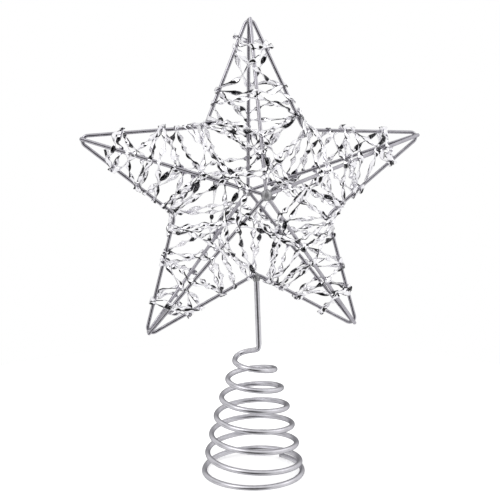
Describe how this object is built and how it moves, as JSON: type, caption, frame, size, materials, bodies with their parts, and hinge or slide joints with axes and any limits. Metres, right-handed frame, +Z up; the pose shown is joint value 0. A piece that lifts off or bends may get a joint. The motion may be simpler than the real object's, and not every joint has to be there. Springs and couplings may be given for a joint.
{
  "type": "christmas tree topper star",
  "caption": "Wire star with depth, wound with silver foil strand, on a stem over a conical coil spring that slips onto a tree's tip and lets the star bounce.",
  "frame": {"origin": "middle of the spring's lowest turn, on the plane it stands on", "axes": "+Z up along the spring's axis, +X to the right seen from the front, -Y the star's front"},
  "size_m": [0.1784, 0.0548, 0.2385],
  "materials": {
    "frame_wire": "satin grey wire",
    "weld_metal": "rough satin weld lump",
    "spring_wire": "pale satin wire",
    "foil": "mirror-like metallised film, crinkled"
  },
  "bodies": {
    "spring": {"coil_spring": "spring_wire"},
    "star": {"star_outline": "frame_wire", "front_rib_top": "frame_wire", "front_rib_left": "frame_wire", "front_rib_lower_left": "frame_wire", "front_rib_lower_right": "frame_wire", "front_rib_right": "frame_wire", "back_rib_top": "frame_wire", "back_rib_left": "frame_wire", "back_rib_lower_left": "frame_wire", "back_rib_lower_right": "frame_wire", "back_rib_right": "frame_wire", "front_apex_weld": "weld_metal", "back_apex_weld": "weld_metal", "tip_weld_top": "weld_metal", "tip_weld_left": "weld_metal", "tip_weld_lower_left": "weld_metal", "tip_weld_lower_right": "weld_metal", "tip_weld_right": "weld_metal", "stem_weld": "weld_metal", "stem_wire": "spring_wire", "foil_wrap_top": "foil", "foil_wrap_left": "foil", "foil_wrap_lower_left": "foil", "foil_wrap_lower_right": "foil", "foil_wrap_right": "foil", "foil_wrap_center": "foil"}
  },
  "joints": [
    {"name": "spring_compression", "type": "slide", "parent": "spring", "child": "star", "axis": [0, 0, 1], "range_m": [-0.03, 0.02], "stiffness_N_per_m": 700, "springref_m": 0.00041, "deforming": ["coil_spring"]}
  ]
}
